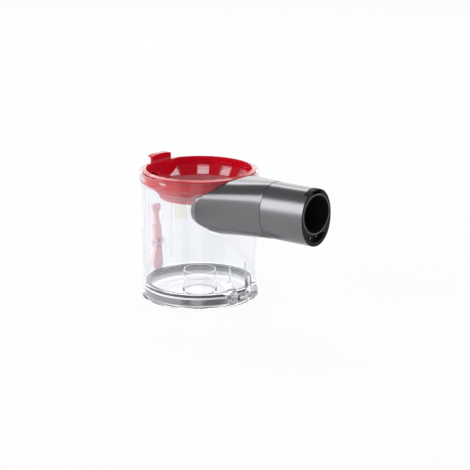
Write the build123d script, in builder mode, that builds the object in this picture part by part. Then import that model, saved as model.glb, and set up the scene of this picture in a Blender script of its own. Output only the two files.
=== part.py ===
from build123d import *
import os
from math import atan2, copysign, cos, pi, radians, sin, sqrt

os.makedirs("parts", exist_ok=True)

# The origin is on the bin's axis at the surface it stands on.
# +X runs out along the inlet, +Z is up, and the release lever is at the back, on -X.

# Fits
seat_clearance = 0.15
running_clearance = 0.05
body_clearance = 0.35

# Clear bin
bin_radius = 56.5
bin_wall = 2.2
seam_height = 14.0
lip_reach = 2.0
lip_top = 125.3
lip_depth = 8.3
rebate_depth = 1.5
rebate_ledge = 1.9
grip_angles = (-87.0, 87.0)
grip_half_width = 7.5
grip_half_height = 2.4
grip_drop = 3.6
grip_depth = 1.5
bin_bore = bin_radius - bin_wall
lip_radius = bin_radius + lip_reach
lip_root = lip_top - lip_depth - lip_reach
rebate_floor = lip_top - rebate_depth
rebate_radius = bin_bore + rebate_ledge

# Inlet passage: a pipe that slants up from the wall to the wand's bore
bore_radius = 17.5
bore_drop = 18.8
port_fall = 16.5
port_inset = 11.5
pipe_reach = 33.5
pipe_wall = 2.0
inlet_seal_thickness = 2.0
inlet_seal_recess = 0.4
bore_height = lip_top - bore_drop
port_height = bore_height - port_fall
port_start = bin_radius - port_inset
pipe_end = bin_radius + pipe_reach

# Duct: a flare that narrows from the bin's wall, then a stepped sleeve round the bore
duct_wall = 1.9
tube_wall = 1.6
contact_room = 6.5
sleeve_length = 49.7
sleeve_fall = 3.3
sleeve_step = 0.35
sleeve_taper_width = 2.0
sleeve_taper_height = 0.3
flare_reach = 41.5
flare_fall = 4.7
waist_share = 0.42
waist_pull = 1.9
nose_start = 20.0
nose_embed = 0.6
nose_room = 5.8
nose_fall = 8.8
nose_squareness = 3.0
waist_squareness = 2.7
sleeve_squareness = 2.1
oval_points = 16
nose_rim_width = 1.6
nose_rim_height = 1.1
nose_rim_setback = 9.0
root_overlap = 0.6
top_notch_width = 25.0
bottom_notch_width = 18.0
notch_length = 5.0
sleeve_half_width = bore_radius + tube_wall + duct_wall
sleeve_half_height = sleeve_half_width + contact_room
sleeve_height = bore_height - sleeve_fall
flare_half_width = sleeve_half_width + sleeve_taper_width
flare_half_height = sleeve_half_height + sleeve_taper_height
flare_height = bore_height - flare_fall
flare_end = bin_radius + flare_reach
sleeve_end = flare_end + sleeve_length
nose_half_width = sqrt((bin_radius - nose_embed) ** 2 - nose_start**2)
nose_half_height = bore_radius + pipe_wall + duct_wall + nose_room
nose_height = bore_height - nose_fall

# Connector in the sleeve's end
connector_inset = 14.0
flange_thickness = 0.8
pocket_wall = 1.6
pocket_depth = 26.0
catch_slot_width = 12.0
catch_slot_height = 3.4
catch_slot_depth = 6.0
catch_slot_round = 0.8
mouth_chamfer = 0.5
mouth_land = 0.4
mouth_groove_width = 1.1
mouth_groove_depth = 0.5
block_half_width = 10.0
block_setback = 5.0
pin_radius = 1.3
pin_tip_round = 0.65
pin_spacing = 9.0
pin_height_above_pocket = 4.2
pin_setback = 3.5
pin_length = 10.5
connector_start = flare_end + connector_inset
connector_end = sleeve_end + flange_thickness

# Collar
collar_proud = 2.4
collar_flange_edge = 0.2
gasket_thickness = 0.8
skirt_wall = 1.55
skirt_depth = 13.7
rim_step = 0.6
rim_slope = 1.4
rim_round = 0.4
skirt_groove_drops = (8.0, 11.1)
skirt_groove_height = 0.9
skirt_groove_depth = 0.6
cone_drop = 8.2
cone_height = 9.8
cone_run = 7.5
cone_wall = 1.7
window_width = 12.6
window_sill = 0.6
window_head = 0.9
window_round = 1.0
window_pitch = 28.5
window_count = 4
rear_window_angle = 164.5
collar_top = lip_top + collar_proud
skirt_radius = bin_bore - seat_clearance
skirt_bore = skirt_radius - skirt_wall
skirt_bottom = collar_top - skirt_depth
collar_bore = skirt_bore - rim_step
cone_top = collar_top - cone_drop
cone_bottom = cone_top - cone_height
cone_foot_radius = collar_bore - cone_run
window_bottom = cone_bottom + window_sill
window_top = cone_top - window_head

# Rear boss and hook tab of the collar
boss_reach = 5.5
boss_half_width = 18.5
boss_side_reach = 24.0
boss_foot_half_width = 16.7
boss_shoulder_drop = 8.8
boss_height = 17.1
boss_depth = 9.4
boss_wall = 1.8
boss_step_drops = (6.9, 9.8)
boss_step_depth = 1.1
boss_step_start = 5.8
boss_pocket_half_width = 13.0
boss_roof = 3.3
tab_inset = 1.0
tab_thickness = 2.7
tab_half_width = 13.2
tab_rise = 6.9
tab_crown = 1.5
barb_reach = 4.5
barb_depth = 2.2
barb_tip = 1.0
boss_face = collar_bore - boss_reach
boss_shoulder = collar_top - boss_shoulder_drop
boss_bottom = collar_top - boss_height
tab_front = collar_bore - tab_inset
tab_back = tab_front + tab_thickness
tab_top = collar_top + tab_rise

# Wiper cone
wiper_run = 6.5
wiper_drop = 10.0
wiper_land = 3.0
wiper_wall = 1.3
wiper_radius = cone_foot_radius - wiper_run
wiper_bottom = cone_bottom - wiper_drop

# Base
base_proud = 0.5
base_flange_reach = 0.7
base_flange_height = 2.3
base_floor = 2.2
base_gap = 0.3
skirt_thickness = 1.8
ring_wall = 1.5
hub_radius = 17.0
hub_wall = 1.8
hub_top = 23.8
rib_ring_radius = 35.0
rib_ring_wall = 1.2
rib_ring_rise = 1.6
base_radius = bin_radius + base_proud
base_flange_radius = base_radius + base_flange_reach
base_top = seam_height - base_gap
skirt_inner = base_radius - skirt_thickness

# Base seal: a band against the skirt with a lip over the base's ring
seal_side_gap = 0.2
seal_floor_gap = 0.3
seal_ring_gap = 0.3
seal_band_wall = 1.8
seal_band_room = 2.7
seal_groove = 1.6
seal_neck = 1.0
seal_lip_thickness = 1.6
seal_lip_edge = 1.1
seal_overhang = 1.1
seal_radius = skirt_inner - seal_side_gap
seal_lip_bottom = base_top - seal_lip_thickness
seal_band_top = seal_lip_bottom - seal_groove
seal_band_bottom = base_floor + seal_floor_gap
ring_radius = seal_radius - seal_band_wall - seal_band_room
ring_top = seal_lip_bottom - seal_ring_gap
seal_lip_radius = ring_radius - seal_overhang

# Base hinge
hinge_reach = 4.0
hinge_drop = 5.5
hinge_offset = 5.5
hinge_pin_radius = 1.5
lug_radius = 3.4
lug_inner = 9.5
lug_outer = 19.5
lug_gap = 0.6
lug_root = 6.6
lug_height = 12.0
knuckle_half_width = 4.2
lug_rib_height = 27.0
lug_rib_width = 1.0
lug_rib_rise = 0.7
pin_chamfer = 0.3
hinge_x = base_radius + hinge_reach
hinge_height = seam_height - hinge_drop
lug_foot = seam_height + lug_gap
lug_top = seam_height + lug_height
lug_start = bin_bore - lug_root

# Release lever and the ledge that its claw holds
catch_half_width = 7.0
catch_drop = 0.7
catch_depth = 2.2
lever_standoff = 3.9
lever_height = 41.0
lever_rise = 39.5
lever_pin_radius = 1.2
lever_boss = 2.7
lever_thickness = 3.4
lever_head_gap = 4.9
lever_foot_gap = 2.0
lever_claw_drop = 1.2
lever_claw_thickness = 1.7
lever_flare_height = 9.9
lever_foot_height = 3.4
lever_head_height = 6.8
lever_neck_drop = 1.6
lever_neck_half = 2.9
lever_shoulder_drop = 20.5
lever_waist_drop = 8.1
lever_waist_half = 4.75
lever_head_half = 6.0
lever_foot_half = 7.0
lever_tail_half = 1.6
lever_corner = 1.2
lever_edge_round = 0.6
ear_gap = 0.4
ear_wall = 2.2
ear_radius = 3.2
rail_y = 17.5
rail_wall = 1.4
rail_reach = 2.2
rail_gap = 6.0
rail_height = 68.0
catch_top = base_top - catch_drop
lever_x = bin_radius + lever_standoff
lever_top = lever_height + lever_rise
lever_bottom = catch_top - catch_depth - lever_claw_drop
lever_head_inner = bin_radius + lever_head_gap
lever_foot_inner = base_radius + lever_foot_gap
catch_reach = lever_foot_inner - body_clearance
ear_inner = lever_waist_half + ear_gap
ear_outer = ear_inner + ear_wall
rail_bottom = seam_height + rail_gap

# Springs: wire radius, turns and the room round each coil
coil_room = 0.45
lever_wire = 0.35
lever_turns = 3
lever_slot_half = 2.4
hinge_wire = 0.5
hinge_turns = 2.5
spring_leg = 4.5
spring_side_gap = 0.7
lever_coil = lever_pin_radius + lever_wire + coil_room
hinge_coil = hinge_pin_radius + hinge_wire + coil_room

standing = (Align.CENTER, Align.CENTER, Align.MIN)


def across_inlet(x, z):
    return Plane(origin=(x, 0, z), x_dir=(0, 1, 0), z_dir=(1, 0, 0))


def along_hinge(x, y, z):
    return Plane(origin=(x, y, z), x_dir=(1, 0, 0), z_dir=(0, 1, 0))


def outward(angle, z):
    across = (-sin(radians(angle)), cos(radians(angle)), 0)
    return Plane(origin=(0, 0, z), x_dir=across, z_dir=(cos(radians(angle)), sin(radians(angle)), 0))


def write(part, name):
    part.label = name
    export_step(part, f"parts/{name}.step")


# Flare: sections between the nose and the sleeve, pulled in at the waist
waist_x = nose_start + waist_share * (flare_end - nose_start)
waist_half_width = nose_half_width + waist_share * (flare_half_width - nose_half_width) - waist_pull
waist_half_height = nose_half_height + waist_share * (flare_half_height - nose_half_height)
waist_height = nose_height + waist_share * (flare_height - nose_height)
flare_sections = (
    (nose_start, nose_half_width, nose_half_height, nose_height, nose_squareness),
    (waist_x, waist_half_width, waist_half_height, waist_height, waist_squareness),
    (flare_end, flare_half_width, flare_half_height, flare_height, sleeve_squareness),
)
sleeve_start_width = flare_half_width - sleeve_step
sleeve_start_height = flare_half_height - sleeve_step
sleeve_sections = (
    (flare_end, sleeve_start_width, sleeve_start_height, flare_height, sleeve_squareness),
    (sleeve_end, sleeve_half_width, sleeve_half_height, sleeve_height, sleeve_squareness),
)


# Oval whose squareness goes from 2, an ellipse, up towards a rounded rectangle
def oval(half_width, half_height, squareness, mode=Mode.ADD):
    points = []
    for k in range(oval_points):
        turn = 2 * pi * k / oval_points
        across = copysign(abs(cos(turn)) ** (2 / squareness), cos(turn))
        up = copysign(abs(sin(turn)) ** (2 / squareness), sin(turn))
        points.append((half_width * across, half_height * up))
    with BuildLine() as outline:
        Spline(*points, periodic=True)
    make_face(outline.edges(), mode=mode)


def oval_loft(sections, inset, mode=Mode.ADD):
    faces = []
    for x, half_width, half_height, height, squareness in sections:
        with BuildSketch(across_inlet(x, height)) as section:
            oval(half_width - inset, half_height - inset, squareness)
        faces.append(section.sketch)
    loft(faces, mode=mode)


def sleeve_at(x):
    share = (x - flare_end) / (sleeve_end - flare_end)
    start, end = sleeve_sections
    return tuple(a + share * (b - a) for a, b in zip(start, end))


# Clear rim that frames the duct's nose on the bin's wall
with BuildPart() as nose_rim:
    oval_loft(flare_sections, -nose_rim_width)
    oval_loft(flare_sections, -seat_clearance, mode=Mode.SUBTRACT)
    with BuildSketch():
        Circle(bin_radius + nose_rim_height)
    extrude(amount=lip_top - lip_depth, mode=Mode.INTERSECT)
    with BuildSketch():
        Circle(bin_radius - root_overlap)
    extrude(amount=lip_top, mode=Mode.SUBTRACT)
    split(bisect_by=Plane.YZ.offset(nose_start + nose_rim_setback), keep=Keep.TOP)

# Hinge lugs: two plates that reach down from the wall to the hinge pin
hinge_plane = Plane.XZ.offset(hinge_offset)
with BuildPart() as hinge_lugs:
    with BuildSketch(hinge_plane):
        with BuildLine():
            inner = hinge_x - lug_radius
            outer = hinge_x + lug_radius
            Line((bin_bore, lug_foot), (inner, lug_foot))
            Line((inner, lug_foot), (inner, hinge_height))
            ThreePointArc((inner, hinge_height), (hinge_x, hinge_height - lug_radius), (outer, hinge_height))
            Line((outer, hinge_height), (outer, lug_foot))
            Line((outer, lug_foot), (bin_radius, lug_top))
            Line((bin_radius, lug_top), (lug_start, lug_top))
            Line((lug_start, lug_top), (lug_start, lug_foot))
            Line((lug_start, lug_foot), (bin_bore, lug_foot))
        make_face()
    extrude(amount=lug_outer, both=True)
    with BuildSketch(hinge_plane):
        with Locations((hinge_x, hinge_height)):
            Rectangle(2 * hinge_x, 2 * lug_top)
    extrude(amount=lug_inner, both=True, mode=Mode.SUBTRACT)
    with BuildSketch(hinge_plane):
        with Locations((hinge_x, hinge_height)):
            Circle(hinge_pin_radius)
    extrude(amount=lug_outer, both=True, mode=Mode.SUBTRACT)
    rib_span = lug_rib_rise + bin_wall / 2
    for side in (-1, 1):
        rib_y = side * (lug_inner + lug_rib_width / 2) - hinge_offset
        rib_x = sqrt(bin_radius**2 - rib_y**2)
        with Locations((rib_x + lug_rib_rise - rib_span / 2, rib_y, lug_foot)):
            Box(rib_span, lug_rib_width, lug_rib_height - lug_gap, align=standing)

# Lever ears: two plates that carry the lever's pin
with BuildPart() as lever_ears:
    with BuildSketch(Plane.XZ):
        with Locations((-lever_x, lever_height)):
            Circle(ear_radius)
        with Locations((-(lever_x + bin_bore) / 2, lever_height)):
            Rectangle(lever_x - bin_bore, 2 * ear_radius)
        with Locations((-lever_x, lever_height)):
            Circle(lever_pin_radius, mode=Mode.SUBTRACT)
    extrude(amount=ear_outer, both=True)
    with BuildSketch(Plane.XZ):
        with Locations((-lever_x, lever_height)):
            Rectangle(2 * lever_x, 2 * lever_height)
    extrude(amount=ear_inner, both=True, mode=Mode.SUBTRACT)

# Bin wall with its lip, the slanted inlet pipe, hinge lugs, lever ears and guide rails
with BuildPart() as bin_body:
    with BuildSketch(Plane.XZ):
        with BuildLine():
            Polyline(
                (bin_bore, seam_height),
                (bin_radius, seam_height),
                (bin_radius, lip_root),
                (lip_radius, lip_top - lip_depth),
                (lip_radius, lip_top),
                (rebate_radius, lip_top),
                (rebate_radius, rebate_floor),
                (bin_bore, rebate_floor),
                close=True,
            )
        make_face()
    revolve(axis=Axis.Z)
    add(nose_rim.part)
    add(hinge_lugs.part)
    add(lever_ears.part)
    rail_root = sqrt(bin_radius**2 - rail_y**2)
    rail_span = rail_reach + bin_wall / 2
    for side in (-1, 1):
        with Locations((-(rail_root + rail_reach - rail_span / 2), side * rail_y, rail_bottom)):
            Box(rail_span, rail_wall, rail_height, align=standing)
    with BuildSketch(across_inlet(port_start, port_height)) as pipe_root:
        Circle(bore_radius + pipe_wall)
    with BuildSketch(across_inlet(pipe_end, bore_height)) as pipe_mouth:
        Circle(bore_radius + pipe_wall)
    loft([pipe_root.sketch, pipe_mouth.sketch])
    with BuildSketch(Plane.XY.offset(seam_height)):
        Circle(bin_bore)
    extrude(amount=rebate_floor - seam_height, mode=Mode.SUBTRACT)
    with BuildSketch(across_inlet(port_start, port_height)) as passage_root:
        Circle(bore_radius)
    with BuildSketch(across_inlet(pipe_end, bore_height)) as passage_mouth:
        Circle(bore_radius)
    loft([passage_root.sketch, passage_mouth.sketch], mode=Mode.SUBTRACT)
    for angle in grip_angles:
        with BuildSketch(outward(angle, lip_top - grip_drop).offset(lip_radius - grip_depth)):
            Ellipse(grip_half_width, grip_half_height)
        extrude(amount=2 * grip_depth, mode=Mode.SUBTRACT)
write(bin_body.part, "bin_body")

# Flared duct cover with its sleeve, hollow, and cut to the wall and the lip
with BuildPart() as inlet_duct:
    oval_loft(flare_sections, 0)
    oval_loft(sleeve_sections, 0)
    oval_loft(flare_sections, duct_wall, mode=Mode.SUBTRACT)
    oval_loft(sleeve_sections, duct_wall, mode=Mode.SUBTRACT)
    with BuildSketch():
        Circle(bin_radius + seat_clearance)
    extrude(amount=collar_top + lip_depth, mode=Mode.SUBTRACT)
    with BuildSketch(Plane.XY.offset(lip_root - seat_clearance)):
        Circle(lip_radius + seat_clearance)
    extrude(amount=2 * lip_depth, mode=Mode.SUBTRACT)
    for width, side in ((top_notch_width, 1), (bottom_notch_width, -1)):
        notch_plane = across_inlet(sleeve_end - notch_length, sleeve_height + side * sleeve_half_height)
        with BuildSketch(notch_plane):
            Rectangle(width, sleeve_half_height)
        extrude(amount=2 * notch_length, mode=Mode.SUBTRACT)
write(inlet_duct.part, "inlet_duct")

# Connector: an oval plug with the wand bore, an end flange and a lower pocket for the contacts
plug_inset = duct_wall + seat_clearance
connector_tube = bore_radius + tube_wall
tube_start = pipe_end + inlet_seal_thickness
key_half_width = sleeve_half_width - plug_inset - pocket_wall / 2
key_half_height = sleeve_half_height - plug_inset - pocket_wall / 2
pocket_half_width = sleeve_half_width - plug_inset - pocket_wall
pocket_half_height = sleeve_half_height - plug_inset - pocket_wall
pocket_height = sleeve_half_height - sleeve_height + bore_height - connector_tube


def pocket_profile(inset, half_width):
    with BuildSketch(across_inlet(connector_end, sleeve_height)) as profile:
        oval(pocket_half_width - inset, pocket_half_height - inset, sleeve_squareness)
        with Locations((0, bore_height - sleeve_height)):
            Circle(connector_tube + inset, mode=Mode.SUBTRACT)
        with Locations((0, -sleeve_half_height)):
            Rectangle(2 * half_width, 2 * pocket_height, mode=Mode.INTERSECT)
    return profile.sketch


with BuildPart() as inlet_connector:
    oval_loft((sleeve_at(connector_start), sleeve_sections[1]), plug_inset)
    with BuildSketch(across_inlet(sleeve_end, sleeve_height)):
        oval(sleeve_half_width, sleeve_half_height, sleeve_squareness)
    extrude(amount=flange_thickness)
    for width, side in ((top_notch_width, 1), (bottom_notch_width, -1)):
        key_plane = across_inlet(sleeve_end - notch_length + seat_clearance, sleeve_height)
        with BuildSketch(key_plane):
            oval(sleeve_half_width, sleeve_half_height, sleeve_squareness)
            oval(key_half_width, key_half_height, sleeve_squareness, mode=Mode.SUBTRACT)
            with Locations((0, side * sleeve_half_height)):
                Rectangle(width - 2 * seat_clearance, sleeve_half_height, mode=Mode.INTERSECT)
        extrude(amount=notch_length - seat_clearance)
    with BuildSketch(across_inlet(tube_start, bore_height)):
        Circle(connector_tube)
    extrude(amount=connector_start - tube_start)
    extrude(pocket_profile(0, sleeve_half_width), amount=-pocket_depth, mode=Mode.SUBTRACT)
    slot_height = sleeve_height + sleeve_half_height - plug_inset - catch_slot_height / 2
    with BuildSketch(across_inlet(connector_end, slot_height)):
        RectangleRounded(catch_slot_width, catch_slot_height, catch_slot_round)
    extrude(amount=-catch_slot_depth, mode=Mode.SUBTRACT)
    with BuildSketch(across_inlet(tube_start, bore_height)):
        Circle(bore_radius)
    extrude(amount=connector_end - tube_start, mode=Mode.SUBTRACT)
    mouth_radius = bore_radius + mouth_chamfer + mouth_land
    with BuildSketch(across_inlet(connector_end - mouth_groove_depth, bore_height)):
        Circle(mouth_radius + mouth_groove_width)
        Circle(mouth_radius, mode=Mode.SUBTRACT)
    extrude(amount=mouth_groove_depth, mode=Mode.SUBTRACT)
    mouth_edges = inlet_connector.edges().filter_by(GeomType.CIRCLE).group_by(Axis.X)[-1]
    chamfer(mouth_edges.sort_by(SortBy.RADIUS)[0], mouth_chamfer)
write(inlet_connector.part, "inlet_connector")

# Contacts: a carrier that fills the pocket's back and two pins through it
pin_height = sleeve_height - pocket_half_height + pin_height_above_pocket
pin_end = connector_end - pin_setback
pin_start = pin_end - pin_length
with BuildPart() as contact_block:
    block_face = pocket_profile(seat_clearance, block_half_width)
    extrude(block_face, amount=-(pocket_depth - seat_clearance))
    with BuildSketch(across_inlet(connector_end, sleeve_height)):
        Rectangle(2 * sleeve_half_width, 2 * sleeve_half_height)
    extrude(amount=-block_setback, mode=Mode.SUBTRACT)
    with BuildSketch(across_inlet(pin_start, pin_height)):
        with GridLocations(pin_spacing, 0, 2, 1):
            Circle(pin_radius)
    extrude(amount=pin_length, mode=Mode.SUBTRACT)
write(contact_block.part, "contact_block")

with BuildPart() as contact_pins:
    with BuildSketch(across_inlet(pin_start, pin_height)):
        with GridLocations(pin_spacing, 0, 2, 1):
            Circle(pin_radius)
    extrude(amount=pin_length)
    tips = contact_pins.edges().filter_by(GeomType.CIRCLE).group_by(Axis.X)[-1]
    fillet(tips, pin_tip_round)
write(contact_pins.part, "contact_pins")

# Rubber ring between the inlet pipe and the connector's tube
with BuildPart() as inlet_seal:
    with BuildSketch(across_inlet(pipe_end, bore_height)):
        Circle(connector_tube)
        Circle(bore_radius + inlet_seal_recess, mode=Mode.SUBTRACT)
    extrude(amount=inlet_seal_thickness)
write(inlet_seal.part, "inlet_seal")

# Collar: rim, skirt and funnel in one section, with windows along one side of the funnel
cone_slope = atan2(cone_height, cone_run)
cone_shift_r = cone_wall * sin(cone_slope)
cone_shift_z = cone_wall * cos(cone_slope)
fork_drop = (collar_bore + cone_shift_r - skirt_bore) * cone_height / cone_run
fork_height = cone_top - cone_shift_z - fork_drop
flange_underside = rebate_floor + gasket_thickness
flange_radius = rebate_radius - collar_flange_edge
window_angles = [window_pitch * (k + 1.5) for k in range(window_count)] + [rear_window_angle]
window_planes = [outward(angle, (window_bottom + window_top) / 2) for angle in window_angles]

# Boss that bulges into the mouth at the back, with two ledges on one half of its face
with BuildPart() as rear_boss:
    for level, drop in enumerate((0, *boss_step_drops)):
        step_out = level * boss_step_depth
        right_end = -boss_step_start if level else boss_half_width
        with BuildSketch(Plane.YZ.offset(step_out - boss_face)):
            with BuildLine():
                Line((-boss_side_reach, collar_top), (boss_half_width, collar_top))
                Line((boss_half_width, collar_top), (boss_foot_half_width, boss_shoulder))
                ThreePointArc(
                    (boss_foot_half_width, boss_shoulder),
                    (0, boss_bottom),
                    (-boss_foot_half_width, boss_shoulder),
                )
                Line((-boss_foot_half_width, boss_shoulder), (-boss_side_reach, boss_shoulder))
                Line((-boss_side_reach, boss_shoulder), (-boss_side_reach, collar_top))
            make_face()
            with Locations((right_end, collar_top - drop)):
                Rectangle(2 * collar_bore, collar_top, align=(Align.MAX, Align.MAX), mode=Mode.INTERSECT)
        extrude(amount=-(boss_depth + step_out))
    with BuildSketch():
        Circle(skirt_radius - seat_clearance)
    extrude(amount=collar_top, mode=Mode.INTERSECT)
    with BuildSketch(Plane.YZ.offset(-(boss_face + boss_wall))):
        with Locations((0, collar_top - boss_roof)):
            Rectangle(2 * boss_pocket_half_width, collar_top, align=(Align.CENTER, Align.MAX))
    extrude(amount=-boss_depth, mode=Mode.SUBTRACT)

# Hook tab that stands on the rim above the boss, with a barb that points backwards
crown_radius = (tab_half_width**2 + tab_crown**2) / (2 * tab_crown)
with BuildPart() as hook_tab:
    with BuildSketch(Plane.XZ):
        with BuildLine():
            Polyline(
                (-tab_front, flange_underside),
                (-tab_front, tab_top),
                (-(tab_back + barb_reach), tab_top - barb_tip / 2),
                (-(tab_back + barb_reach), tab_top - barb_tip - barb_tip / 2),
                (-tab_back, tab_top - barb_depth - barb_tip),
                (-tab_back, flange_underside),
                close=True,
            )
        make_face()
    extrude(amount=tab_half_width, both=True)
    with BuildSketch(Plane.YZ.offset(-(tab_back + 2 * barb_reach))):
        with Locations((0, tab_top - crown_radius)):
            Circle(crown_radius)
    extrude(amount=boss_face, mode=Mode.INTERSECT)

with BuildPart() as rim_collar:
    with BuildSketch(Plane.XZ):
        with BuildLine():
            Polyline(
                (collar_bore, collar_top),
                (flange_radius, collar_top - rim_slope),
                (flange_radius, flange_underside),
                (skirt_radius, flange_underside),
                (skirt_radius, skirt_bottom),
                (skirt_bore, skirt_bottom),
                (skirt_bore, fork_height),
                (cone_foot_radius + cone_shift_r, cone_bottom - cone_shift_z),
                (cone_foot_radius, cone_bottom),
                (collar_bore, cone_top),
                close=True,
            )
        make_face()
    revolve(axis=Axis.Z)
    rim_edges = rim_collar.edges().filter_by(GeomType.CIRCLE).group_by(Axis.Z)[-1]
    fillet(rim_edges, rim_round)
    for drop in skirt_groove_drops:
        with BuildSketch(Plane.XY.offset(collar_top - drop - skirt_groove_height / 2)):
            Circle(bin_bore)
            Circle(skirt_radius - skirt_groove_depth, mode=Mode.SUBTRACT)
        extrude(amount=skirt_groove_height, mode=Mode.SUBTRACT)
    with BuildSketch(*window_planes):
        RectangleRounded(window_width, window_top - window_bottom, window_round)
    extrude(amount=bin_bore, mode=Mode.SUBTRACT)
    add(rear_boss.part)
    add(hook_tab.part)
write(rim_collar.part, "rim_collar")

# Flat gasket under the collar's rim
with BuildPart() as collar_gasket:
    with BuildSketch(Plane.XY.offset(rebate_floor)):
        Circle(flange_radius)
        Circle(skirt_radius + seat_clearance, mode=Mode.SUBTRACT)
    extrude(amount=gasket_thickness)
write(collar_gasket.part, "collar_gasket")

# Wiper: a soft cone that carries the funnel on down to a straight land
with BuildPart() as shroud_wiper:
    with BuildSketch(Plane.XZ):
        with BuildLine():
            Polyline(
                (cone_foot_radius, cone_bottom),
                (cone_foot_radius + cone_shift_r, cone_bottom - cone_shift_z),
                (wiper_radius + wiper_wall, wiper_bottom + wiper_land - cone_shift_z),
                (wiper_radius + wiper_wall, wiper_bottom),
                (wiper_radius, wiper_bottom),
                (wiper_radius, wiper_bottom + wiper_land),
                close=True,
            )
        make_face()
    revolve(axis=Axis.Z)
write(shroud_wiper.part, "shroud_wiper")

# Base: floor, outer skirt, seal ring, centre hub, hinge knuckle and catch ledge
with BuildPart() as bin_base:
    with BuildSketch(Plane.XZ):
        with BuildLine():
            Polyline(
                (0, 0),
                (base_flange_radius, 0),
                (base_flange_radius, base_flange_height),
                (base_radius, base_flange_height),
                (base_radius, base_top),
                (skirt_inner, base_top),
                (skirt_inner, base_floor),
                (ring_radius, base_floor),
                (ring_radius, ring_top),
                (ring_radius - ring_wall, ring_top),
                (ring_radius - ring_wall, base_floor),
                (rib_ring_radius, base_floor),
                (rib_ring_radius, base_floor + rib_ring_rise),
                (rib_ring_radius - rib_ring_wall, base_floor + rib_ring_rise),
                (rib_ring_radius - rib_ring_wall, base_floor),
                (hub_radius, base_floor),
                (hub_radius, hub_top),
                (hub_radius - hub_wall, hub_top),
                (hub_radius - hub_wall, base_floor),
                (0, base_floor),
                close=True,
            )
        make_face()
    revolve(axis=Axis.Z)
    with BuildSketch(hinge_plane):
        with Locations((hinge_x, hinge_height)):
            Circle(lug_radius)
        with Locations(((hinge_x + skirt_inner) / 2, hinge_height)):
            Rectangle(hinge_x - skirt_inner, 2 * lug_radius)
        with Locations((hinge_x, hinge_height)):
            Circle(hinge_pin_radius + running_clearance, mode=Mode.SUBTRACT)
    extrude(amount=knuckle_half_width, both=True)
    with Locations((-(catch_reach + skirt_inner) / 2, 0, catch_top - catch_depth / 2)):
        Box(catch_reach - skirt_inner, 2 * catch_half_width, catch_depth)
    with BuildSketch(Plane.XY.offset(base_floor)):
        Circle(skirt_inner)
        Circle(ring_radius, mode=Mode.SUBTRACT)
    extrude(amount=base_top - base_floor, mode=Mode.SUBTRACT)
write(bin_base.part, "bin_base")

# Seal: a band inside the base's skirt with a lip that reaches over the seal ring
with BuildPart() as base_seal:
    with BuildSketch(Plane.XZ):
        with BuildLine():
            Polyline(
                (seal_radius - seal_band_wall, seal_band_bottom),
                (seal_radius, seal_band_bottom),
                (seal_radius, seal_band_top),
                (seal_radius - seal_neck, seal_band_top),
                (seal_radius - seal_neck, seal_lip_bottom),
                (seal_radius, seal_lip_bottom),
                (seal_radius, base_top),
                (seal_lip_radius, seal_lip_bottom + seal_lip_edge),
                (seal_lip_radius, seal_lip_bottom),
                (seal_radius - seal_band_wall, seal_lip_bottom),
                close=True,
            )
        make_face()
    revolve(axis=Axis.Z)
write(base_seal.part, "base_seal")

# Hinge pin
with BuildPart() as hinge_pin:
    with BuildSketch(along_hinge(hinge_x, -(hinge_offset + lug_outer), hinge_height)):
        Circle(hinge_pin_radius)
    extrude(amount=2 * lug_outer)
    chamfer(hinge_pin.edges().filter_by(GeomType.CIRCLE), pin_chamfer)
write(hinge_pin.part, "hinge_pin")

# Release lever: the side profile cut to the front outline
lever_head_outer = lever_head_inner + lever_thickness
lever_foot_outer = lever_foot_inner + lever_thickness
lever_flare_top = lever_bottom + lever_flare_height
lever_neck = lever_top - lever_head_height
lever_shoulder = lever_top - lever_shoulder_drop
with BuildPart() as release_lever:
    with BuildSketch(Plane.XZ):
        with BuildLine():
            Polyline(
                (-lever_head_inner, lever_top),
                (-(lever_x - lever_boss), lever_height + lever_boss),
                (-(lever_x - lever_boss), lever_height - lever_boss),
                (-lever_foot_inner, lever_flare_top),
                (-lever_foot_inner, lever_bottom),
                (-(lever_foot_inner + lever_claw_thickness), lever_bottom),
                (-lever_foot_outer, lever_flare_top),
                (-(lever_x + lever_boss), lever_height - lever_boss),
                (-(lever_x + lever_boss), lever_height + lever_boss),
                (-lever_head_outer, lever_top),
                close=True,
            )
        make_face()
        fillet(vertices(), lever_edge_round)
    extrude(amount=lever_foot_half, both=True)
    with BuildSketch(Plane.YZ.offset(-2 * lever_x)):
        with BuildLine():
            outline = (
                (0, lever_top),
                (lever_head_half - lever_corner, lever_top),
                (lever_head_half, lever_top - lever_corner),
                (lever_head_half, lever_neck),
                (lever_neck_half, lever_neck - lever_neck_drop),
                (lever_neck_half, lever_shoulder),
                (lever_waist_half, lever_shoulder - lever_corner),
                (lever_waist_half, lever_height - lever_waist_drop),
                (lever_foot_half, lever_flare_top),
                (lever_foot_half, lever_flare_top - lever_foot_height),
                (lever_tail_half, lever_bottom),
                (0, lever_bottom),
            )
            Polyline(*outline)
            mirror(about=Plane.YZ)
        make_face()
    extrude(amount=2 * lever_x, mode=Mode.INTERSECT)
    with BuildSketch(Plane.XZ):
        with Locations((-lever_x, lever_height)):
            Circle(lever_pin_radius + running_clearance)
    extrude(amount=lever_foot_half, both=True, mode=Mode.SUBTRACT)
    with Locations((-lever_x, 0, lever_height)):
        Box(2 * lever_x, 2 * lever_slot_half, 2 * (spring_leg + body_clearance), mode=Mode.SUBTRACT)
write(release_lever.part, "release_lever")

# Lever pin
with BuildPart() as lever_pin:
    with BuildSketch(along_hinge(-lever_x, -ear_outer, lever_height)):
        Circle(lever_pin_radius)
    extrude(amount=2 * ear_outer)
    chamfer(lever_pin.edges().filter_by(GeomType.CIRCLE), pin_chamfer)
write(lever_pin.part, "lever_pin")


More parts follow.
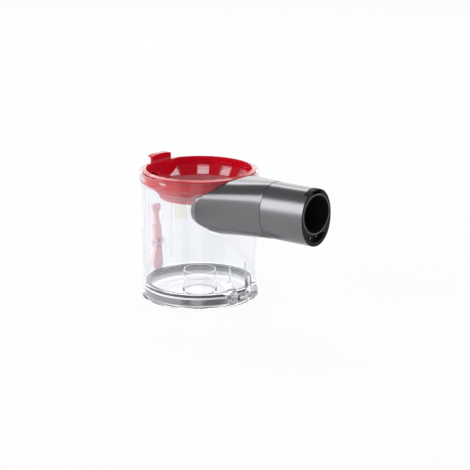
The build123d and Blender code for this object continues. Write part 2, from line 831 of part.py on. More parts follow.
# Torsion spring: turns of wire round a pin, with a straight leg at each end
def torsion_spring(seat, coil, wire, turns, length):
    pitch = (length - 2 * wire) / turns
    coil_path = seat * Helix(pitch, pitch * turns, coil)
    with BuildPart() as spring:
        start = Plane(origin=coil_path @ 0, z_dir=coil_path % 0)
        end = Plane(origin=coil_path @ 1, z_dir=coil_path % 1)
        with BuildSketch(start):
            Circle(wire)
        sweep(path=coil_path, is_frenet=True)
        with BuildSketch(start):
            Circle(wire)
        extrude(amount=-spring_leg)
        with BuildSketch(end):
            Circle(wire)
        extrude(amount=spring_leg)
    return spring.part


lever_coil_length = 2 * (lever_slot_half - spring_side_gap)
lever_spring = torsion_spring(
    along_hinge(-lever_x, lever_wire - lever_coil_length / 2, lever_height),
    lever_coil,
    lever_wire,
    lever_turns,
    lever_coil_length,
)
write(lever_spring, "lever_spring")

hinge_coil_length = lug_inner - knuckle_half_width - 2 * spring_side_gap
hinge_spring = torsion_spring(
    Plane(
        origin=(hinge_x, -(hinge_offset + knuckle_half_width + spring_side_gap + hinge_wire), hinge_height),
        x_dir=(-1, 0, 0),
        z_dir=(0, -1, 0),
    ),
    hinge_coil,
    hinge_wire,
    hinge_turns,
    hinge_coil_length,
)
write(hinge_spring, "hinge_spring")
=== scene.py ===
import math
import bmesh
import bpy
from mathutils import Matrix, Vector


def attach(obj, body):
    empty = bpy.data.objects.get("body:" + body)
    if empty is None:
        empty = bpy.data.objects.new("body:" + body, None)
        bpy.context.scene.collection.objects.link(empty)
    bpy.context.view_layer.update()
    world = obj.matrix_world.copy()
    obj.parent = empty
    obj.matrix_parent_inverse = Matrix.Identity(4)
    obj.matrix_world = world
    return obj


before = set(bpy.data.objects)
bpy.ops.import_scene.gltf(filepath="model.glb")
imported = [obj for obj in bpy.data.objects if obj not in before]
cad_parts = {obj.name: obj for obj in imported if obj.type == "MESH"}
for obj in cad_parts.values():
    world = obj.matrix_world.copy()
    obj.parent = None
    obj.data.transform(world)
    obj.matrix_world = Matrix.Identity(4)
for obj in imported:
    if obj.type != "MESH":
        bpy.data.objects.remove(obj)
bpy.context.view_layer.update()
scene = bpy.context.scene
mm = 0.001  # one millimetre in metres
flatten = (1, 1, 0)  # keeps x and y of a vector, drops its height
colourA, colourB, colourOut = 6, 7, 2  # sockets of a Mix node that mixes colours
print("frame loaded:", len(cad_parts), "nodes")


# Small helpers
def linear(hexText):
    parts = [int(hexText[i:i + 2], 16) / 255 for i in (1, 3, 5)]
    light = [p / 12.92 if p <= 0.04045 else ((p + 0.055) / 1.055) ** 2.4 for p in parts]  # sRGB curve
    return (*light, 1)


white = linear("#FFFFFF")


def perMetre(sizeMm):
    return 1 / (sizeMm * mm)  # texture scale for a pattern of this size


def inMetres(sizesMm):
    return tuple(size * mm for size in sizesMm)


def middleAndHalf(low, high):
    return (low + high) / 2, (high - low) / 2  # a range, as Compare takes it


def addNode(tree, kind, settings=None, links=None):
    node = tree.nodes.new(kind)
    for key, value in (settings or {}).items():
        if isinstance(key, int) or key in node.inputs:
            node.inputs[key].default_value = value
        else:
            setattr(node, key, value)
    for key, source in (links or {}).items():
        tree.links.new(source, node.inputs[key])
    return node


def startMaterial(name):
    material = bpy.data.materials.new(name)
    material.use_nodes = True
    material.node_tree.nodes.clear()
    return material, material.node_tree


# Camera: placed by a fit to the photograph's rim, base and inlet
cameraFit = {
    "place": (1.0593, -1.1360, 0.4951),
    "tilt": 74.31,
    "turn": 41.70,
    "lens": 124.4,
    "sensor": 36.0,
}
cameraData = bpy.data.cameras.new("photoCamera")
cameraData.lens = cameraFit["lens"]
cameraData.sensor_width = cameraFit["sensor"]
camera = bpy.data.objects.new("photoCamera", cameraData)
camera.location = cameraFit["place"]
camera.rotation_euler = (math.radians(cameraFit["tilt"]), 0, math.radians(cameraFit["turn"]))
scene.collection.objects.link(camera)
scene.camera = camera
scene.view_settings.view_transform = "Standard"

# Studio: a white paper floor in a pale air, and four soft boxes
floorPaper = {
    "half": 8.0,  # metres
    "drop": 0.3 * mm,
    "colour": "#F4F4F5",
    "clear": 0.93,  # share that the eye sees through, so that the open base stays in view
}


def paperFloor():
    material, tree = startMaterial("paperMattWhite")  # seamless paper: white, with a soft shadow
    rays = addNode(tree, "ShaderNodeLightPath")
    seen = addNode(tree, "ShaderNodeMath", {"operation": "MAXIMUM"},
                   {0: rays.outputs["Is Camera Ray"], 1: rays.outputs["Is Glossy Ray"]})
    seenToo = addNode(tree, "ShaderNodeMath", {"operation": "MAXIMUM"},
                      {0: seen.outputs[0], 1: rays.outputs["Is Transmission Ray"]})
    share = addNode(tree, "ShaderNodeMath", {"operation": "MULTIPLY", 1: floorPaper["clear"]},
                    {0: seenToo.outputs[0]})
    paper = addNode(tree, "ShaderNodeBsdfDiffuse", {"Color": linear(floorPaper["colour"])})
    through = addNode(tree, "ShaderNodeBsdfTransparent", {"Color": white})
    mix = addNode(tree, "ShaderNodeMixShader", {},
                  {0: share.outputs[0], 1: paper.outputs[0], 2: through.outputs[0]})
    addNode(tree, "ShaderNodeOutputMaterial", {}, {"Surface": mix.outputs[0]})
    half, level = floorPaper["half"], -floorPaper["drop"]
    corners = [(-half, -half, level), (half, -half, level), (half, half, level), (-half, half, level)]
    mesh = bpy.data.meshes.new("studioFloor")
    mesh.from_pydata(corners, [], [(0, 1, 2, 3)])
    mesh.materials.append(material)
    floor = bpy.data.objects.new("studioFloor", mesh)
    scene.collection.objects.link(floor)


studioAir = {
    "horizon": 1.0,  # strength low down
    "ceiling": 0.36,  # strength overhead
    "horizonTop": 0.40,  # heights on a sphere of radius 1
    "ceilingStart": 0.56,
    "flagHeights": (-0.38, -0.10),
    "flagBearings": ((-84, -66), (-42, 5)),  # degrees
    "flagDark": 0.9,  # strength that a flag takes away
}


def studioWorld():
    world = bpy.data.worlds.new("studioAir")
    scene.world = world
    world.use_nodes = True
    tree = world.node_tree
    tree.nodes.clear()
    place = addNode(tree, "ShaderNodeTexCoord")
    axes = addNode(tree, "ShaderNodeSeparateXYZ", {}, {0: place.outputs["Generated"]})
    strength = addNode(tree, "ShaderNodeMapRange", {
        "interpolation_type": "SMOOTHSTEP",
        "From Min": studioAir["horizonTop"],
        "From Max": studioAir["ceilingStart"],
        "To Min": studioAir["horizon"],
        "To Max": studioAir["ceiling"],
    }, {"Value": axes.outputs["Z"]})
    # Two dark flags below the horizon: only reflections show them, along the base's band
    bearing = addNode(tree, "ShaderNodeMath", {"operation": "ARCTAN2"},
                      {0: axes.outputs["Y"], 1: axes.outputs["X"]})
    middle, half = middleAndHalf(*studioAir["flagHeights"])
    belt = addNode(tree, "ShaderNodeMath", {"operation": "COMPARE", 1: middle, 2: half},
                   {0: axes.outputs["Z"]})
    rays = addNode(tree, "ShaderNodeLightPath")
    mirrored = addNode(tree, "ShaderNodeMath", {"operation": "MINIMUM", 1: studioAir["flagDark"]},
                       {0: rays.outputs["Glossy Depth"]})
    held = addNode(tree, "ShaderNodeMath", {"operation": "MULTIPLY"},
                   {0: belt.outputs[0], 1: mirrored.outputs[0]})
    for first, last in studioAir["flagBearings"]:
        middle, half = middleAndHalf(math.radians(first), math.radians(last))
        flag = addNode(tree, "ShaderNodeMath", {"operation": "COMPARE", 1: middle, 2: half},
                       {0: bearing.outputs[0]})
        taken = addNode(tree, "ShaderNodeMath", {"operation": "MULTIPLY"},
                        {0: flag.outputs[0], 1: held.outputs[0]})
        strength = addNode(tree, "ShaderNodeMath", {"operation": "SUBTRACT"},
                           {0: strength.outputs[0], 1: taken.outputs[0]})
    air = addNode(tree, "ShaderNodeBackground", {"Color": white}, {"Strength": strength.outputs[0]})
    addNode(tree, "ShaderNodeOutputWorld", {}, {"Surface": air.outputs[0]})


# Each box stands along its aim from the origin; far, wide and long are in metres
softBoxes = {
    # streak along the duct's flare and sleeve
    "stripBox": {"aim": (-0.41, -0.78, 0.38), "along": (0.43, -0.08, 0.33),
                 "far": 2.0, "wide": 0.90, "long": 2.4, "watts": 20.5},
    # light on the rim and the duct's top
    "backBox": {"aim": (-0.62, 0.70, 0.36), "along": (0.77, 0.64, 0.0),
                "far": 2.0, "wide": 1.10, "long": 2.0, "watts": 5.5},
    # sheen on the near side of the rim
    "crownBox": {"aim": (-0.50, 0.47, 0.73), "along": (0.39, 0.13, 0.17),
                 "far": 2.0, "wide": 0.55, "long": 1.30, "watts": 7.8},
    # fill from the far right, over the hinge
    "sideBox": {"aim": (0.62, 0.66, 0.42), "along": (0.7, -0.7, 0.0),
                "far": 2.0, "wide": 1.2, "long": 1.2, "watts": 6.0},
}


def softBox(name, box):
    facing = Vector(box["aim"]).normalized()
    across = facing.cross(Vector(box["along"])).normalized()
    data = bpy.data.lights.new(name, "AREA")
    data.shape = "RECTANGLE"
    data.size = box["long"]
    data.size_y = box["wide"]
    data.energy = box["watts"]
    lamp = bpy.data.objects.new(name, data)
    lamp.location = facing * box["far"]
    lamp.rotation_euler = Matrix((across.cross(facing), across, facing)).transposed().to_euler()
    scene.collection.objects.link(lamp)


paperFloor()
studioWorld()
for boxName, boxSizes in softBoxes.items():
    softBox(boxName, boxSizes)
print("camera and studio set")

# Materials of one colour: sizes in mm, and what holds where a finish says no other
plainFinish = {
    "cloudDetail": 3.0,
    "grainDetail": 2.0,
    "grainDepth": 0.1,
    "metallic": 0.0,
    "ior": 1.5,
    "passes": 0.0,
}
finishes = {
    # ABS, moulded in a polished tool: an even deep red, with a clear gloss on the top rim
    "redAbsPolished": {
        "dark": "#C0001A", "light": "#CC0622", "cloud": 40, "grain": 0.8, "bump": 0.05,
        "rough": (0.16, 0.22), "ior": 1.28,
        "coat": {"heights": (125.9, 128.2), "weight": 0.55, "rough": 0.06}},
    # ABS, moulded satin in red, with a painted sheen: coloured pale for the veil of light that the
    # clear wall lays over it; soft lights
    "leverAbsPaintedPale": {
        "dark": "#FAB4BA", "light": "#FEC6CA", "cloud": 7, "grain": 0.7, "bump": 0.08,
        "rough": (0.3, 0.42)},
    # silicone rubber, moulded in the collar's red: deep and dull
    "gasketSiliconeRed": {
        "dark": "#A00014", "light": "#B00A1C", "cloud": 8, "grain": 0.6, "bump": 0.1,
        "rough": (0.4, 0.5), "ior": 1.43},
    # thermoplastic rubber, moulded matt and grey with fine dust: a chalky pink
    "wiperRubberDusty": {
        "dark": "#B2505A", "light": "#D06E78", "cloud": 9, "grain": 0.6, "bump": 0.25,
        "rough": (0.62, 0.82)},
    # ABS, sprayed with a satin metallic grey lacquer: blurred streaks of light along the tube
    "ductSatinMetallic": {
        "dark": "#717073", "light": "#7B7A7D", "cloud": 30, "grain": 0.5, "bump": 0.02,
        "rough": (0.20, 0.26), "metallic": 1.0},
    # ABS, moulded black with a spark-eroded texture: almost no shine
    "connectorBlackAbs": {
        "dark": "#161618", "light": "#1E1E20", "cloud": 12, "grain": 0.5, "bump": 0.2,
        "rough": (0.40, 0.54), "ior": 1.2},
    # painted highlight: a thin light-grey ring in the mouth's groove, standing for the line of light
    # along the bore's rim
    "paintedHighlightGrey": {
        "dark": "#88888C", "light": "#9C9CA0", "cloud": 5, "grain": 0.4, "bump": 0.1,
        "rough": (0.3, 0.4), "ior": 1.43},
    # brass, turned and gone dull with use: a small warm glint
    "contactBrassTurned": {
        "dark": "#6E6350", "light": "#8C8068", "cloud": 3, "grain": 0.3, "bump": 0.1,
        "rough": (0.2, 0.3), "metallic": 1.0},
    # silicone rubber, moulded smooth: grey with a soft sheen
    "sealSiliconeGrey": {
        "dark": "#57575D", "light": "#66666C", "cloud": 14, "grain": 0.6, "bump": 0.1,
        "rough": (0.34, 0.46), "ior": 1.43},
    # polyester film, cast in plain cream: thin, so that light comes through it
    "labelPolyesterCream": {
        "dark": "#FFFAEA", "light": "#FFFEF2", "cloud": 6, "grain": 0.6, "bump": 0.05,
        "rough": (0.6, 0.7), "ior": 1.2, "passes": 0.9},
    # nylon, moulded thin: a translucent pink net in the collar's windows
    "screenNylonPink": {
        "dark": "#FF8896", "light": "#FF9AA6", "cloud": 5, "grain": 0.5, "bump": 0.1,
        "rough": (0.4, 0.5), "ior": 1.3, "passes": 0.5},
    # steel, ground along its length: bright, with blurred reflections
    "pinSteelGround": {
        "dark": "#A8A8AC", "light": "#C2C2C6", "cloud": 3, "grain": 0.3, "bump": 0.1,
        "rough": (0.22, 0.32), "metallic": 1.0},
    # spring steel, drawn and left with oil on it: dark, with a thin highlight
    "springSteelDrawn": {
        "dark": "#4A4A4E", "light": "#66666A", "cloud": 2, "grain": 0.3, "bump": 0.1,
        "rough": (0.28, 0.38), "metallic": 1.0},
}


def solidColour(name, finish):
    finish = {**plainFinish, **finish}
    material, tree = startMaterial(name)
    place = addNode(tree, "ShaderNodeTexCoord")
    cloud = addNode(tree, "ShaderNodeTexNoise", {
        "Scale": perMetre(finish["cloud"]), "Detail": finish["cloudDetail"]},
        {"Vector": place.outputs["Object"]})  # slow change from dark to light
    grain = addNode(tree, "ShaderNodeTexNoise", {
        "Scale": perMetre(finish["grain"]), "Detail": finish["grainDetail"]},
        {"Vector": place.outputs["Object"]})  # the tool's texture, drawn coarser or it would not show
    colour = addNode(tree, "ShaderNodeMix", {
        "data_type": "RGBA", colourA: linear(finish["dark"]), colourB: linear(finish["light"])},
        {0: cloud.outputs["Fac"]})
    smooth, dull = finish["rough"]
    rough = addNode(tree, "ShaderNodeMapRange", {"To Min": smooth, "To Max": dull},
                    {"Value": cloud.outputs["Fac"]})
    bump = addNode(tree, "ShaderNodeBump", {
        "Strength": finish["bump"], "Distance": finish["grainDepth"] * mm},
        {"Height": grain.outputs["Fac"]})
    body = addNode(tree, "ShaderNodeBsdfPrincipled", {
        "Metallic": finish["metallic"],
        "IOR": finish["ior"],
        "Transmission Weight": finish["passes"],
    }, {
        "Base Color": colour.outputs[colourOut],
        "Roughness": rough.outputs[0],
        "Normal": bump.outputs[0],
    })
    if "coat" in finish:  # gloss between two heights
        coat = finish["coat"]
        middle, half = middleAndHalf(*inMetres(coat["heights"]))
        axes = addNode(tree, "ShaderNodeSeparateXYZ", {}, {0: place.outputs["Object"]})
        band = addNode(tree, "ShaderNodeMath", {"operation": "COMPARE", 1: middle, 2: half},
                       {0: axes.outputs["Z"]})
        weight = addNode(tree, "ShaderNodeMath", {"operation": "MULTIPLY", 1: coat["weight"]},
                         {0: band.outputs[0]})
        body.inputs["Coat Roughness"].default_value = coat["rough"]
        tree.links.new(weight.outputs[0], body.inputs["Coat Weight"])
    addNode(tree, "ShaderNodeOutputMaterial", {}, {"Surface": body.outputs[0]})
    return material


# Base seal: heights and radius of its bands in mm
sealBands = {
    "grooveFrom": 8.7,
    "lipFrom": 12.05,
    # painted shadow on the inner face from this height up
    "innerLipFrom": 6.4,
    "faceRadius": 54.2,
    "band": "#94949C",
    # painted highlight: the clear base's edge glint on the groove, and light on the lower inner face
    "groove": "#DADADE",
    # painted shadow: the dark line of the seam and the dark crescent at the back
    "lip": "#56565C",
    "rough": 0.22,
    "shine": 0.9,
}


def bandedSeal(name):
    material, tree = startMaterial(name)  # silicone, moulded: a shiny grey band; painted light on the groove and the lower inner face, painted shadow of the seam on the lip and the upper inner face
    place = addNode(tree, "ShaderNodeTexCoord")
    axes = addNode(tree, "ShaderNodeSeparateXYZ", {}, {0: place.outputs["Object"]})
    above = {}
    for edge in ("grooveFrom", "lipFrom", "innerLipFrom"):
        above[edge] = addNode(tree, "ShaderNodeMath", {
            "operation": "GREATER_THAN", 1: sealBands[edge] * mm}, {0: axes.outputs["Z"]})
    flat = addNode(tree, "ShaderNodeVectorMath", {"operation": "MULTIPLY", 1: flatten},
                   {0: place.outputs["Object"]})
    reach = addNode(tree, "ShaderNodeVectorMath", {"operation": "LENGTH"}, {0: flat.outputs["Vector"]})
    inside = addNode(tree, "ShaderNodeMath", {
        "operation": "LESS_THAN", 1: sealBands["faceRadius"] * mm}, {0: reach.outputs["Value"]})
    innerPaintedShadow = addNode(tree, "ShaderNodeMath", {"operation": "MULTIPLY"},
                       {0: above["innerLipFrom"].outputs[0], 1: inside.outputs[0]})
    # painted shadow: the lip, and the inner face above its line
    lip = addNode(tree, "ShaderNodeMath", {"operation": "MAXIMUM"},
                  {0: above["lipFrom"].outputs[0], 1: innerPaintedShadow.outputs[0]})
    # painted light: the groove, and the inner face below the shadow
    paintedLight = addNode(tree, "ShaderNodeMath", {"operation": "MAXIMUM"},
                   {0: above["grooveFrom"].outputs[0], 1: inside.outputs[0]})
    lower = addNode(tree, "ShaderNodeMix", {
        "data_type": "RGBA", colourA: linear(sealBands["band"]), colourB: linear(sealBands["groove"])},
        {0: paintedLight.outputs[0]})
    colour = addNode(tree, "ShaderNodeMix", {"data_type": "RGBA", colourB: linear(sealBands["lip"])},
                     {0: lip.outputs[0], colourA: lower.outputs[colourOut]})
    shine = addNode(tree, "ShaderNodeMapRange", {"To Min": sealBands["shine"], "To Max": 0.0},
                    {"Value": paintedLight.outputs[0]})
    body = addNode(tree, "ShaderNodeBsdfPrincipled", {"Roughness": sealBands["rough"]},
                   {"Base Color": colour.outputs[colourOut], "Metallic": shine.outputs[0]})
    addNode(tree, "ShaderNodeOutputMaterial", {}, {"Surface": body.outputs[0]})
    return material


# Clear plastic: sizes in mm; a frost reach of 0 leaves that axis out
plainClear = {
    "flow": 26.0,
    "flowDetail": 2.0,
    "flowBump": 0.06,
    "flowDepth": 0.4,
    "rough": 0.02,
    "glossRough": 0.02,
    "frostRough": 0.5,
    # heights where the painted reflection of the red collar comes in
    "collarRedReflectionHeights": (111.0, 117.0),
    "shadow": "#F4F6F7",
}
clears = {
    # polycarbonate, moulded in a polished tool: faint ripples, two matt dimples, and a pink lip that is
    # a painted reflection of the red collar
    "clearPolycarbonateMoulded": {
        "tint": "#FAFBFE", "collarRedReflection": "#F6D4DA", "ior": 1.22, "passes": 0.95, "gloss": 0.35,
        "frostCentre": (5.2, 57.6, 121.9), "frostReach": (5.2, 4.0, 1.2), "frostShare": (0.0, 1.0),
        "frostTint": "#FFF4F6", "frostPasses": 0.6},
    # the same polycarbonate, with the base's ring under the seal left matt by the tool
    "clearPolycarbonateFrostedRing": {
        "tint": "#FFFFFF", "collarRedReflection": "#FFFFFF", "ior": 1.05, "passes": 0.99, "gloss": 0.15,
        "frostCentre": (0.0, 0.0, 0.0), "frostReach": (50.0, 50.0, 0.0), "frostShare": (0.974, 1.016),
        "frostTint": "#FFFFFF", "frostPasses": 0.9},
}


def clearPolycarbonate(name, clearness):
    clearness = {**plainClear, **clearness}
    material, tree = startMaterial(name)
    place = addNode(tree, "ShaderNodeTexCoord")
    axes = addNode(tree, "ShaderNodeSeparateXYZ", {}, {0: place.outputs["Object"]})
    flow = addNode(tree, "ShaderNodeTexNoise", {
        "Scale": perMetre(clearness["flow"]), "Detail": clearness["flowDetail"]},
        {"Vector": place.outputs["Object"]})
    ripple = addNode(tree, "ShaderNodeBump", {
        "Strength": clearness["flowBump"], "Distance": clearness["flowDepth"] * mm},
        {"Height": flow.outputs["Fac"]})
    # Pink towards the top: a painted reflection of the red collar in the clear wall
    reflectionFrom, reflectionTo = inMetres(clearness["collarRedReflectionHeights"])
    rise = addNode(tree, "ShaderNodeMapRange", {"From Min": reflectionFrom, "From Max": reflectionTo},
                   {"Value": axes.outputs["Z"]})
    tint = addNode(tree, "ShaderNodeMix", {
        "data_type": "RGBA", colourA: linear(clearness["tint"]), colourB: linear(clearness["collarRedReflection"])},
        {0: rise.outputs[0]})
    wall = addNode(tree, "ShaderNodeBsdfPrincipled", {
        "Roughness": clearness["rough"],
        "IOR": clearness["ior"],
        "Transmission Weight": clearness["passes"],
        "Coat Weight": clearness["gloss"],
        "Coat Roughness": clearness["glossRough"],
    }, {"Base Color": tint.outputs[colourOut], "Normal": ripple.outputs[0]})
    # Matt patch, the same on both sides of the part's middle
    side = addNode(tree, "ShaderNodeMath", {"operation": "ABSOLUTE"}, {0: axes.outputs["Y"]})
    fold = addNode(tree, "ShaderNodeCombineXYZ", {},
                   {"X": axes.outputs["X"], "Y": side.outputs[0], "Z": axes.outputs["Z"]})
    offset = addNode(tree, "ShaderNodeVectorMath", {
        "operation": "SUBTRACT", 1: inMetres(clearness["frostCentre"])}, {0: fold.outputs["Vector"]})
    perReach = tuple(perMetre(size) if size else 0 for size in clearness["frostReach"])
    scaled = addNode(tree, "ShaderNodeVectorMath", {"operation": "MULTIPLY", 1: perReach},
                     {0: offset.outputs["Vector"]})
    reach = addNode(tree, "ShaderNodeVectorMath", {"operation": "LENGTH"},
                    {0: scaled.outputs["Vector"]})
    middle, half = middleAndHalf(*clearness["frostShare"])
    patch = addNode(tree, "ShaderNodeMath", {"operation": "COMPARE", 1: middle, 2: half},
                    {0: reach.outputs["Value"]})
    frost = addNode(tree, "ShaderNodeBsdfPrincipled", {
        "Base Color": linear(clearness["frostTint"]),
        "Roughness": clearness["frostRough"],
        "IOR": clearness["ior"],
        "Transmission Weight": clearness["frostPasses"],
    })
    surface = addNode(tree, "ShaderNodeMixShader", {},
                      {0: patch.outputs[0], 1: wall.outputs[0], 2: frost.outputs[0]})
    # A shadow ray passes straight through, so that the plastic's shadow stays faint
    passing = addNode(tree, "ShaderNodeBsdfTransparent", {"Color": linear(clearness["shadow"])})
    rays = addNode(tree, "ShaderNodeLightPath")
    mix = addNode(tree, "ShaderNodeMixShader", {},
                  {0: rays.outputs["Is Shadow Ray"], 1: surface.outputs[0], 2: passing.outputs[0]})
    addNode(tree, "ShaderNodeOutputMaterial", {}, {"Surface": mix.outputs[0]})
    return material


materials = {name: solidColour(name, finish) for name, finish in finishes.items()}
materials["sealSiliconeBanded"] = bandedSeal("sealSiliconeBanded")
for clearName, clearness in clears.items():
    materials[clearName] = clearPolycarbonate(clearName, clearness)

nodeFinish = {
    "bin_body": "clearPolycarbonateMoulded",
    "bin_base": "clearPolycarbonateFrostedRing",
    "rim_collar": "redAbsPolished",
    "release_lever": "leverAbsPaintedPale",
    "shroud_wiper": "wiperRubberDusty",
    "inlet_duct": "ductSatinMetallic",
    "inlet_connector": "connectorBlackAbs",
    "contact_block": "connectorBlackAbs",
    "contact_pins": "contactBrassTurned",
    "base_seal": "sealSiliconeBanded",
    "collar_gasket": "gasketSiliconeRed",
    "inlet_seal": "sealSiliconeGrey",
    "hinge_pin": "pinSteelGround",
    "lever_pin": "pinSteelGround",
    "hinge_spring": "springSteelDrawn",
    "lever_spring": "pinSteelGround",
}
for nodeName, finishName in nodeFinish.items():
    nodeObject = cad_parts[nodeName]
    nodeObject.data.materials.clear()
    nodeObject.data.materials.append(materials[finishName])
print("materials assigned:", len(materials))

# Label: a plain film on the outside of the back wall, sizes in mm and degrees
labelFilm = {
    "radius": 56.5,
    "lift": 0.01,
    "thickness": 0.08,
    "angles": (146.5, 160.4),
    "heights": (61.0, 80.7),
    "steps": 24,
}


def curvedFilm(name, film):
    mesh = bpy.data.meshes.new(name)
    shape = bmesh.new()
    first, last = (math.radians(angle) for angle in film["angles"])
    bottom, top = inMetres(film["heights"])
    inner = (film["radius"] + film["lift"]) * mm
    outer = (film["radius"] + film["lift"] + film["thickness"]) * mm
    section = ((inner, bottom), (outer, bottom), (outer, top), (inner, top))
    rings = []
    for step in range(film["steps"] + 1):
        angle = first + (last - first) * step / film["steps"]
        rings.append([shape.verts.new((radius * math.cos(angle), radius * math.sin(angle), height))
                      for radius, height in section])
    for near, far in zip(rings, rings[1:]):
        for k in range(len(section)):
            after = (k + 1) % len(section)
            shape.faces.new((near[k], far[k], far[after], near[after]))
    shape.faces.new(rings[0])
    shape.faces.new(list(reversed(rings[-1])))
    bmesh.ops.recalc_face_normals(shape, faces=shape.faces)
    shape.to_mesh(mesh)
    shape.free()
    return bpy.data.objects.new(name, mesh)


film = curvedFilm("labelFilm", labelFilm)
film.data.materials.append(materials["labelPolyesterCream"])
scene.collection.objects.link(film)
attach(film, "bin")
print("label film laid")

# Trim grown at stations round the part: each copy faces away from the part's axis
quarter = math.pi / 2


def startGrowth(name, sizes, counts=()):
    tree = bpy.data.node_groups.new(name, "GeometryNodeTree")
    tree.interface.new_socket("Geometry", in_out="OUTPUT", socket_type="NodeSocketGeometry")
    sockets = {"Stations": "NodeSocketGeometry"}
    sockets.update({label: "NodeSocketFloat" for label in sizes})
    sockets.update({label: "NodeSocketInt" for label in counts})
    sockets["Finish"] = "NodeSocketMaterial"
    for label, kind in sockets.items():
        tree.interface.new_socket(label, in_out="INPUT", socket_type=kind)
    return tree, addNode(tree, "NodeGroupInput")


def endGrowth(tree, given, shape):
    place = addNode(tree, "GeometryNodeInputPosition")
    level = addNode(tree, "ShaderNodeVectorMath", {"operation": "MULTIPLY", 1: flatten},
                    {0: place.outputs[0]})
    facing = addNode(tree, "FunctionNodeAlignRotationToVector", {"axis": "X"},
                     {"Vector": level.outputs[0]})
    copies = addNode(tree, "GeometryNodeInstanceOnPoints", {}, {
        "Points": given.outputs["Stations"], "Instance": shape, "Rotation": facing.outputs[0]})
    solid = addNode(tree, "GeometryNodeRealizeInstances", {}, {0: copies.outputs[0]})
    finished = addNode(tree, "GeometryNodeSetMaterial", {},
                       {"Geometry": solid.outputs[0], "Material": given.outputs["Finish"]})
    addNode(tree, "NodeGroupOutput", {}, {0: finished.outputs[0]})


def grown(name, tree, stations, values):
    grower = bpy.data.objects.new(name, bpy.data.meshes.new(name + "Stations"))
    grower.data.from_pydata(stations, [], [])
    scene.collection.objects.link(grower)
    modifier = grower.modifiers.new(name, "NODES")
    modifier.node_group = tree
    for item in tree.interface.items_tree:
        if item.name in values:
            modifier[item.identifier] = values[item.name]
    evaluated = grower.evaluated_get(bpy.context.evaluated_depsgraph_get())
    mesh = bpy.data.meshes.new_from_object(evaluated)
    grower.modifiers.remove(modifier)
    grower.data = mesh
    return grower


# Screens in the collar's windows: nets of thin strands in a thicker border
screens = {
    "angles": (42.75, 71.25, 99.75, 128.25, 164.5),
    "stationRadius": 52.0,
    "inset": -3.2,
    "level": 113.93,
    "width": 12.7,
    "height": 10.5,
    "tilt": 37.4,
    "columns": 9,
    "rows": 7,
    "strand": 0.34,
    "strandSides": 6,
    "border": 1.1,
    "borderSides": 8,
}


def screenTree():
    tree, given = startGrowth(
        "windowScreens", ("Width", "Height", "Strand", "Border", "Tilt", "Inset", "Level"),
        ("Columns", "Rows"))
    net = addNode(tree, "GeometryNodeMeshGrid", {}, {
        "Size X": given.outputs["Width"], "Size Y": given.outputs["Height"],
        "Vertices X": given.outputs["Columns"], "Vertices Y": given.outputs["Rows"]})
    lines = addNode(tree, "GeometryNodeMeshToCurve", {}, {0: net.outputs[0]})
    thin = addNode(tree, "GeometryNodeCurvePrimitiveCircle", {"Resolution": screens["strandSides"]},
                   {"Radius": given.outputs["Strand"]})
    strands = addNode(tree, "GeometryNodeCurveToMesh", {"Fill Caps": True},
                      {"Curve": lines.outputs[0], "Profile Curve": thin.outputs[0]})
    edge = addNode(tree, "GeometryNodeCurvePrimitiveQuadrilateral", {}, {
        "Width": given.outputs["Width"], "Height": given.outputs["Height"]})
    thick = addNode(tree, "GeometryNodeCurvePrimitiveCircle", {"Resolution": screens["borderSides"]},
                    {"Radius": given.outputs["Border"]})
    border = addNode(tree, "GeometryNodeCurveToMesh", {},
                     {"Curve": edge.outputs[0], "Profile Curve": thick.outputs[0]})
    whole = addNode(tree, "GeometryNodeJoinGeometry", {}, {0: strands.outputs[0]})
    tree.links.new(border.outputs[0], whole.inputs[0])
    upright = addNode(tree, "GeometryNodeTransform", {"Rotation": (quarter, 0, quarter)},
                      {0: whole.outputs[0]})
    lean = addNode(tree, "ShaderNodeCombineXYZ", {}, {"Y": given.outputs["Tilt"]})
    move = addNode(tree, "ShaderNodeCombineXYZ", {},
                   {"X": given.outputs["Inset"], "Z": given.outputs["Level"]})
    seated = addNode(tree, "GeometryNodeTransform", {}, {
        "Geometry": upright.outputs[0], "Translation": move.outputs[0], "Rotation": lean.outputs[0]})
    endGrowth(tree, given, seated.outputs[0])
    return tree


windowRing = screens["stationRadius"] * mm
windowTurns = [math.radians(angle) for angle in screens["angles"]]
windowStations = [(windowRing * math.cos(turn), windowRing * math.sin(turn), 0) for turn in windowTurns]
screenNet = grown("windowScreens", screenTree(), windowStations, {
    "Width": screens["width"] * mm,
    "Height": screens["height"] * mm,
    "Strand": screens["strand"] * mm,
    "Border": screens["border"] * mm,
    "Tilt": math.radians(screens["tilt"]),
    "Inset": screens["inset"] * mm,
    "Level": screens["level"] * mm,
    "Columns": screens["columns"],
    "Rows": screens["rows"],
    "Finish": materials["screenNylonPink"],
})

# Thin ledge over each window but the last
brows = {
    "width": 12.6,
    "level": 122.2,
    "deep": 2.6,
    "high": 1.1,
    "steps": 24,
}


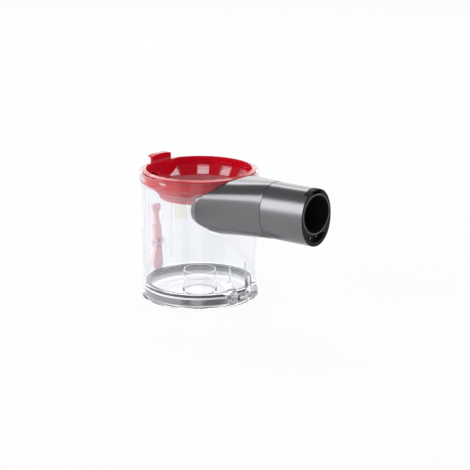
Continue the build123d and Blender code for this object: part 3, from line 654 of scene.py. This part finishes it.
def browTree():
    tree, given = startGrowth("windowBrows", ("Radius", "Sweep", "Deep", "High", "Level"))
    back = addNode(tree, "ShaderNodeMath", {"operation": "MULTIPLY", 1: -0.5},
                   {0: given.outputs["Sweep"]})  # half the sweep to each side
    arc = addNode(tree, "GeometryNodeCurveArc", {"Resolution": brows["steps"]}, {
        "Radius": given.outputs["Radius"], "Start Angle": back.outputs[0],
        "Sweep Angle": given.outputs["Sweep"]})
    bar = addNode(tree, "GeometryNodeCurvePrimitiveQuadrilateral", {}, {
        "Width": given.outputs["Deep"], "Height": given.outputs["High"]})
    ledge = addNode(tree, "GeometryNodeCurveToMesh", {"Fill Caps": True},
                    {"Curve": arc.outputs[0], "Profile Curve": bar.outputs[0]})
    inward = addNode(tree, "ShaderNodeMath", {"operation": "MULTIPLY", 1: -1.0},
                     {0: given.outputs["Radius"]})
    move = addNode(tree, "ShaderNodeCombineXYZ", {},
                   {"X": inward.outputs[0], "Z": given.outputs["Level"]})
    raised = addNode(tree, "GeometryNodeTransform", {},
                     {"Geometry": ledge.outputs[0], "Translation": move.outputs[0]})
    endGrowth(tree, given, raised.outputs[0])
    return tree


browBars = grown("windowBrows", browTree(), windowStations[:-1], {
    "Radius": windowRing,
    "Sweep": brows["width"] / screens["stationRadius"],
    "Deep": brows["deep"] * mm,
    "High": brows["high"] * mm,
    "Level": brows["level"] * mm,
    "Finish": materials["redAbsPolished"],
})

# Painted highlight: a thin light-grey ring in the groove of the inlet's mouth, for the line of light
# along the bore's rim
mouthHighlight = {
    "centre": (148.15, 0.0, 106.5),
    "radius": 18.95,
    "thick": 0.28,
    "steps": 96,
    "sides": 10,
}


def highlightTree():
    tree, given = startGrowth("mouthHighlight", ("Radius", "Thick"))
    path = addNode(tree, "GeometryNodeCurvePrimitiveCircle", {"Resolution": mouthHighlight["steps"]},
                   {"Radius": given.outputs["Radius"]})
    highlightSection = addNode(tree, "GeometryNodeCurvePrimitiveCircle", {"Resolution": mouthHighlight["sides"]},
                   {"Radius": given.outputs["Thick"]})
    ring = addNode(tree, "GeometryNodeCurveToMesh", {},
                   {"Curve": path.outputs[0], "Profile Curve": highlightSection.outputs[0]})
    facing = addNode(tree, "GeometryNodeTransform", {"Rotation": (0, quarter, 0)},
                     {0: ring.outputs[0]})
    endGrowth(tree, given, facing.outputs[0])
    return tree


highlightRing = grown("mouthHighlight", highlightTree(), [inMetres(mouthHighlight["centre"])], {
    "Radius": mouthHighlight["radius"] * mm,
    "Thick": mouthHighlight["thick"] * mm,
    "Finish": materials["paintedHighlightGrey"],
})
# the ring in the inlet's mouth among these is a painted highlight
for grownPiece in (screenNet, browBars, highlightRing):
    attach(grownPiece, "bin")
print("window screens, ledges and mouth bead grown")
